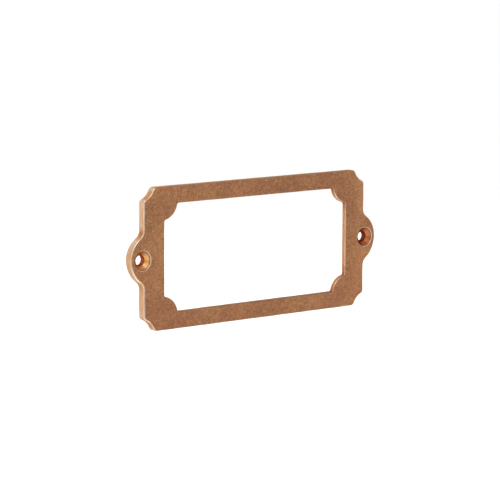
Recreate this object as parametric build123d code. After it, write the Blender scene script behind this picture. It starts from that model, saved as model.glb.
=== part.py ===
from build123d import *
import math
import os

# Drawer label holder: one flat cast frame round a card window.
# Frame: +Z up, +X along the length, front towards -Y, in millimetres.
# Origin: midway between the two screw holes, on the flat back that lies on the drawer front.

# Fixing holes
HOLE_SPACING = 76.2
BORE_DIAMETER = 2.9
HEAD_DIAMETER = 5.1
HEAD_ANGLE = 100.0
HEAD_BREAK = 0.3
HEAD_LIP = 0.12

# Plate
HOLE_OVERHANG = 0.4
PLATE_HEIGHT = 38.1
LIP_THICKNESS = 1.3
POCKET_DEPTH = 1.7

# Screw ears at the two ends
EAR_RADIUS = 7.25
EAR_RIM = 3.75
EAR_BLEND = 2.35

# Corner notches
NOTCH_RADIUS = 4.2
NOTCH_OFFSET = 0.85

# Card window
RAIL_WIDTH = 4.6
STILE_WIDTH = 6.7
LOBE_RADIUS = 4.9
LOBE_OFFSET = 0.6
COVE_RADIUS = 0.6

# Card pocket in the back
CARD_OVERLAP = 2.0
POCKET_CORNER = 1.5

# Eased edges
FRONT_EASE = 0.4
BACK_EASE = 1.0
TIP_CORE = 0.3

THICKNESS = LIP_THICKNESS + POCKET_DEPTH
PLATE_LENGTH = HOLE_SPACING - 2 * HOLE_OVERHANG
WINDOW_LENGTH = PLATE_LENGTH - 2 * STILE_WIDTH
WINDOW_HEIGHT = PLATE_HEIGHT - 2 * RAIL_WIDTH
EAR_CENTRE = HOLE_SPACING / 2 + EAR_RIM - EAR_RADIUS
TIP_RADIUS = max(FRONT_EASE, BACK_EASE) + TIP_CORE

PAST = 1.0
NEAR = 1e-4


def corner_points(length, height):
    """Gives the four corners of a centred rectangle."""
    return [(sx * length / 2, sy * height / 2) for sx in (-1, 1) for sy in (-1, 1)]


def notch_centres():
    """Gives the centres of the round notches, which lie just outside the plate's corners."""
    return corner_points(PLATE_LENGTH + 2 * NOTCH_OFFSET, PLATE_HEIGHT + 2 * NOTCH_OFFSET)


def lobe_centres():
    """Gives the centres of the round lobes, which lie just outside the window's corners."""
    return corner_points(WINDOW_LENGTH + 2 * LOBE_OFFSET, WINDOW_HEIGHT + 2 * LOBE_OFFSET)


def on_circle(vertex, centres, radius):
    """Tells whether a vertex lies on one of the circles."""
    return any(abs(math.hypot(vertex.X - x, vertex.Y - y) - radius) < NEAR for x, y in centres)


def eared_plate():
    """Joins a round ear to each end of the plate and blends it into the end's straight edge."""
    plate = Rectangle(PLATE_LENGTH, PLATE_HEIGHT)
    for side in (-1, 1):
        plate += Pos(side * EAR_CENTRE, 0) * Rot(0, 0, 90 + side * 90) * Circle(EAR_RADIUS)
    joints = [v for v in plate.vertices() if abs(v.Y) < PLATE_HEIGHT / 2 - NEAR]
    return fillet(joints, EAR_BLEND)


def plate_outline():
    """Cuts the round notches out of the corners and rounds the tips that they leave."""
    outline = eared_plate()
    for centre in notch_centres():
        outline -= Pos(*centre) * Circle(NOTCH_RADIUS)
    tips = [v for v in outline.vertices() if on_circle(v, notch_centres(), NOTCH_RADIUS)]
    return fillet(tips, TIP_RADIUS)


def window_outline():
    """Makes the window with a round lobe of the frame in each corner and a cove beside each lobe."""
    window = Rectangle(WINDOW_LENGTH, WINDOW_HEIGHT)
    centres = lobe_centres()
    for centre in centres:
        window -= Pos(*centre) * Circle(LOBE_RADIUS)
    roots = [v for v in window.vertices() if on_circle(v, centres, LOBE_RADIUS)]
    return fillet(roots, COVE_RADIUS)


def plate():
    """Raises the outline to the full thickness and eases its edges, front face towards +Z."""
    blank = extrude(plate_outline(), THICKNESS)
    blank = fillet(blank.faces().sort_by(Axis.Z)[0].edges(), BACK_EASE)
    blank -= extrude(window_outline(), THICKNESS)
    return fillet(blank.faces().sort_by(Axis.Z)[-1].edges(), FRONT_EASE)


def card_pocket():
    """Makes the shallow pocket behind the window that a card lies in."""
    length = WINDOW_LENGTH + 2 * CARD_OVERLAP
    height = WINDOW_HEIGHT + 2 * CARD_OVERLAP
    outline = RectangleRounded(length, height, POCKET_CORNER)
    return Pos(0, 0, -PAST) * extrude(outline, PAST + POCKET_DEPTH)


def screw_hole():
    """Makes a countersunk hole whose mouth lies at z = 0, with its bore towards -Z."""
    bore = BORE_DIAMETER / 2
    head = HEAD_DIAMETER / 2
    lip = HEAD_BREAK + HEAD_LIP
    seat = lip + (head - bore) / math.tan(math.radians(HEAD_ANGLE / 2))
    section = Polyline(
        (0, PAST),
        (head + HEAD_BREAK + PAST, PAST),
        (head, -HEAD_BREAK),
        (head, -lip),
        (bore, -seat),
        (bore, -THICKNESS - PAST),
        (0, -THICKNESS - PAST),
        close=True,
    )
    return revolve(Plane.XZ * make_face(section), Axis.Z)


def label_holder():
    """Assembles the one-piece frame and stands it up, its back on the plane y = 0."""
    body = plate() - card_pocket()
    for side in (-1, 1):
        body -= Pos(side * HOLE_SPACING / 2, 0, THICKNESS) * screw_hole()
    return Rot(90, 0, 0) * body


os.makedirs("parts", exist_ok=True)
export_step(label_holder(), "parts/frame.step")
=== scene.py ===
# Drawer label holder: a flat cast frame round a card window, finished in aged warm brown.
# Sizes are in millimetres until a mesh is made, in the CAD frame: +X along the length,
# +Z up, the back on y = 0 and the front face towards -Y.

import logging
import math
from collections.abc import Callable
from dataclasses import dataclass
from enum import Enum
from functools import reduce

import bmesh
import bpy
import numpy as np
from mathutils import Euler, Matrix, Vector


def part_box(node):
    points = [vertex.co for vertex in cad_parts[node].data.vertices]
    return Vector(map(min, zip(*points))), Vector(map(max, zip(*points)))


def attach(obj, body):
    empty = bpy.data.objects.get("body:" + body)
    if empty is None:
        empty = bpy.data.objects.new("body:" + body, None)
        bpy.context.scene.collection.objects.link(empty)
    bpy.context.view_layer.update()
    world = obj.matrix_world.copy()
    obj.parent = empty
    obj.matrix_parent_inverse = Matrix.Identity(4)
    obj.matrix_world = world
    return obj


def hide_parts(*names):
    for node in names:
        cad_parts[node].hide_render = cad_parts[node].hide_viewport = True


# A millimetre in metres, and how near two grid borders have to lie to be welded, in millimetres.
MM = 0.001
WELD = 0.002
# How many points distance_to works out at a time.
BATCH = 2000
LOG = logging.getLogger("label_holder")

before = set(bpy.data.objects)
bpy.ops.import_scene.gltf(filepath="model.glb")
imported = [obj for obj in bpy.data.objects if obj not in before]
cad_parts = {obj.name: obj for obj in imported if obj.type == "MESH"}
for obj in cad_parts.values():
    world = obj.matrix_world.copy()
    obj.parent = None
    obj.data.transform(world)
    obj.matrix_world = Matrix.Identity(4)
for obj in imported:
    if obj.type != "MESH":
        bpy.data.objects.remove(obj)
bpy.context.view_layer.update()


class Zone(Enum):
    """The surfaces that take a finish of their own, in the order of the material slots."""

    FACE = 0
    SEAT = 1
    BACK = 2


class Turn(Enum):
    """The order of a cell's corners: plain, or reversed so that its face looks the other way."""

    PLAIN = 1
    FLIPPED = -1


class Into(Enum):
    """Which way a normal is followed into the metal: with it at a window, against it outside."""

    ALONG = 1.0
    AGAINST = -1.0


# ---------------------------------------------------------------- outlines in the plate's plane

Point = tuple[float, float]


@dataclass(frozen=True)
class Trace:
    """A run of points in the plate's plane, each with a unit normal that points out of the shape.

    Args:
        points: Array of shape (n, 2), as x and z in millimetres.
        normals: Array of shape (n, 2).
        bend: One at each point of a tight tip, minus one on a hollow arc and nought elsewhere.
    """

    points: np.ndarray
    normals: np.ndarray
    bend: np.ndarray

    def offset(self, distance: np.ndarray | float) -> np.ndarray:
        """Moves each point along its own normal, by one distance or by one for each point."""
        return self.points + self.normals * np.reshape(distance, (-1, 1))

    def mirrored(self, x: float, z: float) -> "Trace":
        """Multiplies both axes by signs, with the order turned round where that reverses the run.

        Args:
            x: Sign for the length, one or minus one.
            z: Sign for the height, one or minus one.

        Returns:
            The mirrored run, which goes round the shape in the same sense.
        """
        signs = np.array([x, z])
        step = 1 if x * z > 0 else -1
        points, normals = self.points * signs, self.normals * signs
        return Trace(points[::step], normals[::step], self.bend[::step])


def joined(traces: list[Trace]) -> Trace:
    """Puts runs end to end."""
    parts = zip(*((t.points, t.normals, t.bend) for t in traces))
    return Trace(*(np.concatenate(part) for part in parts))


def end_point(x: float, z: float, normal: Point) -> Trace:
    """Makes a run of a single point."""
    return Trace(np.array([[x, z]]), np.array([normal], float), np.zeros(1))


def closed_from_quarter(quarter: Trace) -> Trace:
    """Mirrors a quarter, which holds both end points, into the whole loop, with no point twice."""
    quarters = [quarter, quarter.mirrored(-1, 1), quarter.mirrored(-1, -1), quarter.mirrored(1, -1)]
    return joined([Trace(q.points[:-1], q.normals[:-1], q.bend[:-1]) for q in quarters])


def arc(
    centre: Point, radius: float, start: float, stop: float, count: int, bend: float = 0.0
) -> Trace:
    """Samples centre + radius * (cos a, sin a) at even angles, without the last one.

    Args:
        centre: The arc's centre.
        radius: Its radius. A negative one gives a hollow arc, whose normals look at the centre.
        start: Angle of the first point, in radians.
        stop: Angle where the next run begins.
        count: Number of points.
        bend: What the run is: one for a tight tip, minus one for a hollow arc.

    Returns:
        The sampled run.
    """
    angle = np.linspace(start, stop, count, endpoint=False)
    unit = np.column_stack([np.cos(angle), np.sin(angle)])
    points = np.array(centre) + abs(radius) * unit
    return Trace(points, unit * math.copysign(1.0, radius), np.full(count, bend))


def softened(values: np.ndarray, reach: int) -> np.ndarray:
    """Averages values on a closed line over a few neighbours to both sides."""
    return sum(np.roll(values, step) for step in range(-reach, reach + 1)) / (2 * reach + 1)


def line(start: Point, stop: Point, normal: Point, count: int) -> Trace:
    """Samples a straight run at even steps, without its last point.

    Args:
        start: Its first point.
        stop: Where the next run begins.
        normal: Its unit normal.
        count: Number of points.

    Returns:
        The sampled run.
    """
    share = np.linspace(0.0, 1.0, count, endpoint=False)[:, None]
    points = np.array(start) + share * (np.array(stop) - np.array(start))
    return Trace(points, np.tile(np.array(normal, float), (count, 1)), np.zeros(count))


def distance_to(points: np.ndarray, loops: list[np.ndarray]) -> np.ndarray:
    """Measures how far points of the plane lie from the nearest of several closed lines.

    Each point is set against each segment, at the foot of its perpendicular held within it.

    Args:
        points: Array of shape (..., 2).
        loops: The closed lines, each of shape (n, 2).

    Returns:
        Distances, of the shape of the points without their last axis.
    """
    start = np.concatenate([loop[:, 0] + 1j * loop[:, 1] for loop in loops])
    step = np.concatenate([np.roll(loop, -1, axis=0) @ [1, 1j] - loop @ [1, 1j] for loop in loops])
    flat = points.reshape(-1, 2) @ [1, 1j]

    def nearest(part: np.ndarray) -> np.ndarray:
        """Works out one part of the points, so that the table of pairs stays small.

        Args:
            part: Some of the points, as complex numbers.

        Returns:
            Their distances.
        """
        gap = part[:, None] - start
        share = np.clip((gap * np.conj(step)).real / np.abs(step) ** 2, 0.0, 1.0)
        return np.abs(gap - share * step).min(axis=1)

    parts = np.array_split(flat, max(1, len(flat) // BATCH))
    return np.concatenate([nearest(part) for part in parts]).reshape(points.shape[:-1])


@dataclass(frozen=True)
class Ripple:
    """A smooth random field over the plate: a sum of plane waves, scaled to run from 0 to 1.

    Args:
        wavelength: Mean length of the waves in millimetres.
        waves: How many waves are summed.
        seed: Picks their directions, lengths and phases.
        lengths: Shortest and longest wave, as shares of the mean.
        swing: Share of the sum that is added to one half.
    """

    wavelength: float
    waves: int
    seed: int
    lengths: tuple[float, float] = (0.6, 1.7)
    swing: float = 0.32

    def at(self, points: np.ndarray) -> np.ndarray:
        """Gives one half plus a share of the scaled sum of sin(k . p + phase), clipped to 0 and 1.

        Args:
            points: Array of shape (..., 2), as x and z in millimetres.

        Returns:
            The field's values, of the shape of the points without their last axis.
        """
        draw = np.random.default_rng(self.seed)
        angle = draw.uniform(0.0, 2.0 * math.pi, self.waves)
        length = self.wavelength * draw.uniform(*self.lengths, self.waves)
        phase = draw.uniform(0.0, 2.0 * math.pi, self.waves)
        number = 2.0 * math.pi / length
        x, z = points[..., 0], points[..., 1]
        along, up = number * np.cos(angle), number * np.sin(angle)
        waves = np.outer(x.ravel(), along) + np.outer(z.ravel(), up)
        total = np.sin(waves + phase).sum(axis=1) / math.sqrt(self.waves)
        return np.clip(0.5 + self.swing * total, 0.0, 1.0).reshape(x.shape)


@dataclass(frozen=True)
class Spot:
    """A stretch of an outline where its edge is eased more or less than elsewhere.

    Args:
        x: Its middle along the length, in millimetres.
        z: Its middle up the height.
        reach: Distance at which the change has fallen to about a third.
        change: Share by which the radius changes at its middle.
    """

    x: float
    z: float
    reach: float
    change: float


def varied(radius: float, points: np.ndarray, spots: tuple[Spot, ...]) -> np.ndarray:
    """Gives the radius times one plus, for each spot, change e^(-(distance / reach)^2).

    Args:
        radius: The radius away from the spots.
        points: Points of the outline, of shape (n, 2).
        spots: The spots.

    Returns:
        The radius at each point.
    """
    middle = np.array([(spot.x, spot.z) for spot in spots])
    reach = np.array([spot.reach for spot in spots])
    change = np.array([spot.change for spot in spots])
    far = np.linalg.norm(points[:, None] - middle, axis=2) / reach
    return radius * (1.0 + (change * np.exp(-(far**2))).sum(axis=1))


@dataclass(frozen=True)
class Counts:
    """How many points each run takes. Runs that face each other across a grid share a count.

    Args:
        chord: Half of the line that parts a screw hole's flat from the face.
        cut: The line from the ear's blend to that one.
        blend: The blend between ear and side.
        side: The straight side.
        tip: A tip beside a notch, and a cove beside a lobe.
        bite: A notch, and a lobe.
        top: Half of the top edge.
        ear: Half of the ear.
        easing: Rows of an eased edge.
        wall: Rows of the straight wall, with one of each easing.
        face: Rows of the front face.
        flat: Rows of the flat round a screw hole.
        floor: Rows of the card pocket's floor.
        back: Rows of the back.
        hole_break: Rows of the broken edge round a screw hole.
        cone: Rows of its cone.
        bore: Rows of its bore.
        pocket_ease: Rows of the pocket's eased edges.
        pocket_wall: Rows of its straight wall.
    """

    chord: int = 12
    cut: int = 9
    blend: int = 11
    side: int = 18
    tip: int = 8
    bite: int = 18
    top: int = 62
    ear: int = 26
    easing: int = 9
    wall: int = 7
    face: int = 20
    flat: int = 14
    floor: int = 8
    back: int = 12
    hole_break: int = 8
    cone: int = 9
    bore: int = 4
    pocket_ease: int = 6
    pocket_wall: int = 3

    @property
    def past_ear(self) -> int:
        """Counts the points from the ear to the first tip."""
        return self.cut + self.blend + self.side

    @property
    def corner(self) -> int:
        """Counts the points of a corner: tip, bite, tip."""
        return self.tip + self.bite + self.tip


@dataclass(frozen=True)
class BittenRectangle:
    """A rectangle with a round bite out of each corner and rounded tips beside the bite.

    Args:
        length: Size along x.
        height: Size along z.
        bite: Radius of the bite.
        shift: How far the bite's centre lies outside the corner, along both axes.
        tip: Radius of the tips.
    """

    length: float
    height: float
    bite: float
    shift: float
    tip: float

    def tips(self) -> tuple[Point, Point]:
        """Finds the tip centres: a tip radius inside an edge, bite + tip from the bite's centre.

        Returns:
            The centre beside the side and the centre beside the top edge.
        """
        reach = math.sqrt((self.bite + self.tip) ** 2 - (self.shift + self.tip) ** 2)
        side = (self.length / 2 - self.tip, self.height / 2 + self.shift - reach)
        top = (self.length / 2 + self.shift - reach, self.height / 2 - self.tip)
        return side, top

    def corner(self, counts: Counts) -> Trace:
        """Runs from the end of the side, round the tip, the bite and the other tip to the top.

        Args:
            counts: Points in each run.

        Returns:
            The corner where x and z are positive.
        """
        side, top = self.tips()
        middle = (self.length / 2 + self.shift, self.height / 2 + self.shift)
        first = math.atan2(middle[1] - side[1], middle[0] - side[0])
        last = math.atan2(middle[1] - top[1], middle[0] - top[0])
        return joined([
            arc(side, self.tip, 0.0, first, counts.tip, 1.0),
            arc(middle, -self.bite, first + math.pi, last + math.pi, counts.bite, -1.0),
            arc(top, self.tip, last, math.pi / 2, counts.tip, 1.0),
        ])

    def top_run(self, counts: Counts) -> Trace:
        """Runs along the top edge to its middle, last point included."""
        start, up = (self.tips()[1][0], self.height / 2), (0.0, 1.0)
        return joined([line(start, (0.0, start[1]), up, counts.top), end_point(0.0, start[1], up)])


@dataclass(frozen=True)
class Ear:
    """The round end of the plate that carries a screw, and its blend into the straight side.

    Args:
        radius: Radius of the ear.
        centre: Its centre's x.
        blend: Radius of the hollow blend.
        side: The x of the plate's straight side.
    """

    radius: float
    centre: float
    blend: float
    side: float

    def blend_centre(self) -> Point:
        """Finds the blend's centre: outside the side, and radius + blend from the ear's centre."""
        x = self.side + self.blend
        return x, math.sqrt((self.radius + self.blend) ** 2 - (x - self.centre) ** 2)

    def join_angle(self) -> float:
        """Gives the angle on the ear where its arc meets the blend."""
        x, z = self.blend_centre()
        return math.atan2(z, x - self.centre)

    def tip_arc(self, count: int) -> Trace:
        """Runs from the ear's outermost point up to the blend."""
        return arc((self.centre, 0.0), self.radius, 0.0, self.join_angle(), count)

    def blend_arc(self, count: int) -> Trace:
        """Runs round the blend down to the straight side."""
        start = self.join_angle() + math.pi
        return arc(self.blend_centre(), -self.blend, start, math.pi, count, -1.0)


@dataclass(frozen=True)
class PlateSizes:
    """The plate's sizes in millimetres.

    Args:
        length: Length over the ears, read from the CAD box.
        height: Height, read from the CAD box.
        thickness: Thickness, read from the CAD box.
        hole_spacing: Distance between the screw holes.
        hole_overhang: How far a hole's axis lies outside the straight side.
        bore: Radius of a through-hole.
        head: Radius of its cone's mouth.
        head_break: Radius of the broken edge round the mouth.
        head_lip: Depth of the straight lip above the cone.
        head_angle: The cone's angle in degrees.
        pocket_depth: Depth of the card pocket in the back.
        ear_radius: Radius of an ear.
        ear_blend: Radius of its blend into the side.
        notch_radius: Radius of a corner notch.
        notch_shift: How far the notch's centre lies outside the corner.
        tip_radius: Radius of the tips beside it.
        rail: Width of the frame above and below the window.
        stile: Its width beside the window.
        lobe_radius: Radius of a lobe in the window's corner.
        lobe_shift: How far the lobe's centre lies outside that corner.
        cove_radius: Radius of the coves beside it.
        card_overlap: How far the pocket reaches past the window.
        pocket_corner: Radius of the pocket's corners.
        front_ease: Radius of the front edges.
        back_ease: Radius of the outline's back edge.
        small_ease: Radius of the pocket's edges.
        lip_ease: Radius of the window's back edge.
        bore_ease: Radius of the through-hole's back edge.
    """

    length: float
    height: float
    thickness: float
    hole_spacing: float = 76.2
    hole_overhang: float = 0.4
    bore: float = 1.4
    head: float = 2.55
    head_break: float = 0.3
    head_lip: float = 0.08
    head_angle: float = 104.0
    pocket_depth: float = 1.7
    ear_radius: float = 7.25
    ear_blend: float = 2.35
    notch_radius: float = 4.2
    notch_shift: float = 0.85
    tip_radius: float = 1.3
    rail: float = 4.66
    stile: float = 6.72
    lobe_radius: float = 4.9
    lobe_shift: float = 0.6
    cove_radius: float = 0.6
    card_overlap: float = 2.0
    pocket_corner: float = 1.5
    front_ease: float = 0.36
    back_ease: float = 1.15
    small_ease: float = 0.12
    lip_ease: float = 0.04
    bore_ease: float = 0.03

    @property
    def side(self) -> float:
        """Gives the x of the plate's straight end."""
        return self.hole_spacing / 2 - self.hole_overhang

    @property
    def outline(self) -> BittenRectangle:
        """Gives the plate without its ears."""
        bite, shift, tip = self.notch_radius, self.notch_shift, self.tip_radius
        return BittenRectangle(2 * self.side, self.height, bite, shift, tip)

    @property
    def window(self) -> BittenRectangle:
        """Gives the window. Its bites are the frame's lobes, its tips the coves beside them."""
        length, height = 2 * (self.side - self.stile), self.height - 2 * self.rail
        return BittenRectangle(length, height, self.lobe_radius, self.lobe_shift, self.cove_radius)

    @property
    def ear(self) -> Ear:
        """Gives the ear, whose outermost point is the end of the whole part."""
        return Ear(self.ear_radius, self.length / 2 - self.ear_radius, self.ear_blend, self.side)

    @property
    def seat_depth(self) -> float:
        """Gives how far below the face the cone under a screw head ends."""
        slope = math.tan(math.radians(self.head_angle / 2))
        return self.head_break + self.head_lip + (self.head - self.bore) / slope


# ------------------------------------------------------------------------- the casting's skin


MARKS = ("edge", "crest", "rim", "cut", "tip")


@dataclass(frozen=True)
class Patch:
    """A grid of points whose columns close on themselves, with the marks that its finish reads.

    A mark is an array that broadcasts over the grid's rows and columns.

    Args:
        grid: Array of shape (rows, columns, 3) in millimetres.
        zone: The surface it belongs to.
        turn: Which way its faces look.
        edge: Distance to the nearest worn edge of the back, in millimetres.
        crest: One along the middle of an eased edge, more where it is barest, and nought beside it.
        rim: One on the outer wall where it is rubbed, and nought on the faces.
        cut: One on the window's wall, minus one in the notches and blends of the outer wall.
        tip: Above nought where the outer wall is rubbed palest, minus one in the window's coves.
    """

    grid: np.ndarray
    zone: Zone
    turn: Turn
    edge: np.ndarray | float = 0.0
    crest: np.ndarray | float = 0.0
    rim: np.ndarray | float = 0.0
    cut: np.ndarray | float = 0.0
    tip: np.ndarray | float = 0.0

    def mark(self, name: str) -> np.ndarray:
        """Gives a mark at every point of the grid, row by row."""
        return np.broadcast_to(getattr(self, name), self.grid.shape[:2]).ravel()

    def quads(self, first: int) -> np.ndarray:
        """Numbers the corners of each cell, the last column joined to the first.

        Args:
            first: Number of the grid's first point in the mesh.

        Returns:
            Array of shape (cells, 4).
        """
        rows, columns = self.grid.shape[:2]
        index = first + np.arange(rows * columns).reshape(rows, columns)
        right = np.roll(index, -1, axis=1)
        cells = np.stack([index[:-1], index[1:], right[1:], right[:-1]], axis=-1).reshape(-1, 4)
        return cells[:, :: self.turn.value]


@dataclass(frozen=True)
class Rubbing:
    """How much handling has rubbed the walls and their edges, as shares.

    Args:
        power: Power of the share to which a normal lies along x, for the share that is rubbed.
        least: Rubbing of an edge that faces up or down.
        outer: Rubbing of the outline's edge before the slanting and hollow stretches add theirs.
        inner: Rubbing of the window's edge, which grows to one on a lobe.
        notch: Rubbing of a notch's edge, whichever way it faces.
        most: Most that an edge takes.
        back: Rubbing of a back edge.
        hole: Rubbing of the broken edge round a screw hole.
        tip: How pale the outer wall is on a tip.
        slant: How pale it is on a slanting stretch.
    """

    power: float = 0.7
    least: float = 0.15
    outer: float = 0.7
    inner: float = 0.55
    notch: float = 0.95
    most: float = 1.5
    back: float = 0.6
    hole: float = 0.7
    tip: float = 0.38
    slant: float = 0.7


@dataclass(frozen=True)
class Casting:
    """The one-piece frame as a closed skin of grids.

    Args:
        sizes: The plate's sizes.
        counts: Points in each run of the outlines.
        support: Width of the narrow row that keeps a face flat beside its eased edge.
        crease: Distance of the rows that keep the cone's two ends sharp.
        wander: How far the outlines stray into the metal, in millimetres.
        dip: How far the front face sinks at its lowest, in millimetres.
        uneven: Share by which the front edge's easing varies.
        strays: Where the outline and the window wander.
        easings: Where their front edges are eased less.
        hollows: Where the front face sinks.
        rubbed: Where the outline's front edge is eased more or less.
        crisp: Where its back edge is eased less.
        keen: Where the window's front edge is eased less.
        blunting: How many points to both sides blur the start of a tip or hollow.
        rubbing: How much the walls are rubbed.
    """

    sizes: PlateSizes
    counts: Counts = Counts()
    support: float = 0.035
    crease: float = 0.025
    wander: float = 0.05
    dip: float = 0.03
    uneven: float = 0.35
    strays: tuple[Ripple, Ripple] = (Ripple(9.0, 14, 3), Ripple(9.0, 14, 5))
    easings: tuple[Ripple, Ripple] = (Ripple(5.0, 16, 7), Ripple(5.0, 16, 8))
    hollows: Ripple = Ripple(12.0, 18, 11)
    rubbed: tuple[Spot, ...] = (
        Spot(-41.6, 2.0, 2.5, 0.3), Spot(-40.0, 4.8, 2.4, -0.35),
        Spot(-41.0, -4.0, 3.5, 0.4), Spot(-37.7, -12.0, 5.0, 0.4),
    )
    crisp: tuple[Spot, ...] = (Spot(-41.8, 1.8, 3.2, -0.3), Spot(-37.7, -11.0, 4.5, -0.3))
    keen: tuple[Spot, ...] = (Spot(28.0, -11.5, 4.0, -0.45), Spot(28.6, 11.0, 3.0, -0.25))
    blunting: int = 3
    rubbing: Rubbing = Rubbing()

    # Outlines ------------------------------------------------------------

    @property
    def knee(self) -> float:
        """Gives the height at which a screw hole's flat is parted from the rest of the face."""
        ear = self.sizes.ear
        return ear.radius * math.sin(ear.join_angle())

    @property
    def chord_x(self) -> float:
        """Gives the x of the flat's inner side, midway between the pocket and the hole's break.

        Returns:
            The distance from the middle, in millimetres.
        """
        s = self.sizes
        pocket_end = s.window.length / 2 + s.card_overlap
        return (pocket_end + s.hole_spacing / 2 - s.head - s.head_break) / 2

    def worn(self, trace: Trace, stray: Ripple, into: Into) -> Trace:
        """Lets an outline wander: each point goes into the metal by wander times a smooth field.

        Args:
            trace: The outline.
            stray: The field.
            into: Which way along its normals the metal lies.

        Returns:
            The outline, with the starts of its tips and hollows blurred.
        """
        depth = self.wander * stray.at(trace.points)
        bend = softened(trace.bend, self.blunting)
        return Trace(trace.offset(into.value * depth), trace.normals, bend)

    def plate_loop(self) -> Trace:
        """Mirrors a quarter of the outline, which is ear, blend, side, corner and top edge.

        Returns:
            The outline, from the right ear's outermost point.
        """
        s, n = self.sizes, self.counts
        foot, head = s.ear.blend_centre()[1], s.outline.tips()[0][1]
        side = line((s.side, foot), (s.side, head), (1.0, 0.0), n.side)
        ear = [s.ear.tip_arc(n.ear), s.ear.blend_arc(n.blend)]
        quarter = joined([*ear, side, s.outline.corner(n), s.outline.top_run(n)])
        return self.worn(closed_from_quarter(quarter), self.strays[0], Into.AGAINST)

    def window_loop(self) -> Trace:
        """Mirrors a quarter of the window: its end in two runs, its corner and its top edge.

        Returns:
            The window, from the middle of its right end.
        """
        s, n = self.sizes, self.counts
        x, stop = s.window.length / 2, s.window.tips()[0][1]
        lower = line((x, 0.0), (x, self.knee), (1.0, 0.0), n.chord)
        upper = line((x, self.knee), (x, stop), (1.0, 0.0), n.past_ear)
        quarter = joined([lower, upper, s.window.corner(n), s.window.top_run(n)])
        return self.worn(closed_from_quarter(quarter), self.strays[1], Into.ALONG)

    def pocket_loop(self) -> Trace:
        """Mirrors a quarter of the card pocket, a rounded rectangle that takes the window's counts.

        Returns:
            The pocket, from the middle of its right end.
        """
        s, n = self.sizes, self.counts
        x, z = s.window.length / 2 + s.card_overlap, s.window.height / 2 + s.card_overlap
        r = s.pocket_corner
        quarter = joined([
            line((x, 0.0), (x, self.knee), (1.0, 0.0), n.chord),
            line((x, self.knee), (x, z - r), (1.0, 0.0), n.past_ear),
            arc((x - r, z - r), r, 0.0, math.pi / 2, n.corner),
            line((x - r, z), (0.0, z), (0.0, 1.0), n.top),
            end_point(0.0, z, (0.0, 1.0)),
        ])
        return closed_from_quarter(quarter)

    def front_easing(self, trace: Trace, easing: Ripple, spots: tuple[Spot, ...]) -> np.ndarray:
        """Gives the front edge's radius at each point.

        Args:
            trace: The outline.
            easing: The field whose share, times uneven, is taken off the named radius.
            spots: Where the radius differs more.

        Returns:
            The radii.
        """
        radius = self.sizes.front_ease * (1.0 - self.uneven * easing.at(trace.points))
        return varied(1.0, trace.points, spots) * radius

    # Grids ---------------------------------------------------------------

    def stand(self, plane: np.ndarray, level: np.ndarray) -> np.ndarray:
        """Stands points of the plane up at their level above the back, as x, -level, z.

        The level first sinks by dip times a smooth field times its squared share of the thickness.

        Args:
            plane: Array of shape (rows, columns, 2).
            level: Levels, of shape (rows, columns).

        Returns:
            The grid, of shape (rows, columns, 3).
        """
        sink = self.dip * self.hollows.at(plane)
        height = level - sink * (level / self.sizes.thickness) ** 2
        return np.stack([plane[..., 0], -height, plane[..., 1]], axis=-1)

    def wall_band(
        self, trace: Trace, into: Into, front: np.ndarray, back: np.ndarray, low: float, turn: Turn
    ) -> Patch:
        """Carries the wall's profile round an outline: front round, straight wall, back round.

        A round of radius r is inset by r (1 - sin a) and lies r (1 - cos a) below the front, for a
        from nought to a right angle, and the back one is the same upside down.

        Args:
            trace: The outline.
            into: Which way along its normals the metal lies.
            front: Radius of the front round at each point.
            back: Radius of the back round at each point.
            low: Level of the surface at the wall's foot.
            turn: Which way its faces look.

        Returns:
            The patch, with a narrow flat row at both ends.
        """
        angle = np.linspace(0.0, math.pi / 2, self.counts.easing)[:, None]
        share = np.linspace(0.0, 1.0, self.counts.wall)[1:-1, None]
        top, ones = self.sizes.thickness, np.ones_like(front)
        foot = low + back
        drop = top - front
        inset = [
            (front + self.support)[None],
            front * (1.0 - np.sin(angle)),
            0.0 * share * ones,
            back * (1.0 - np.cos(angle)),
            (back + self.support)[None],
        ]
        level = [
            top * ones[None],
            top - front * (1.0 - np.cos(angle)),
            drop + share * (foot - drop),
            low + back * (1.0 - np.sin(angle)),
            low * ones[None],
        ]
        inset, level = np.vstack(inset), np.vstack(level)
        plane = trace.points + into.value * inset[..., None] * trace.normals
        edge = np.clip(np.minimum(drop - level, level - foot), 0.0, None)
        marks = self.wall_marks(trace, into, top - level, angle)
        return Patch(self.stand(plane, level), Zone.FACE, turn, edge, *marks)

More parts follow.
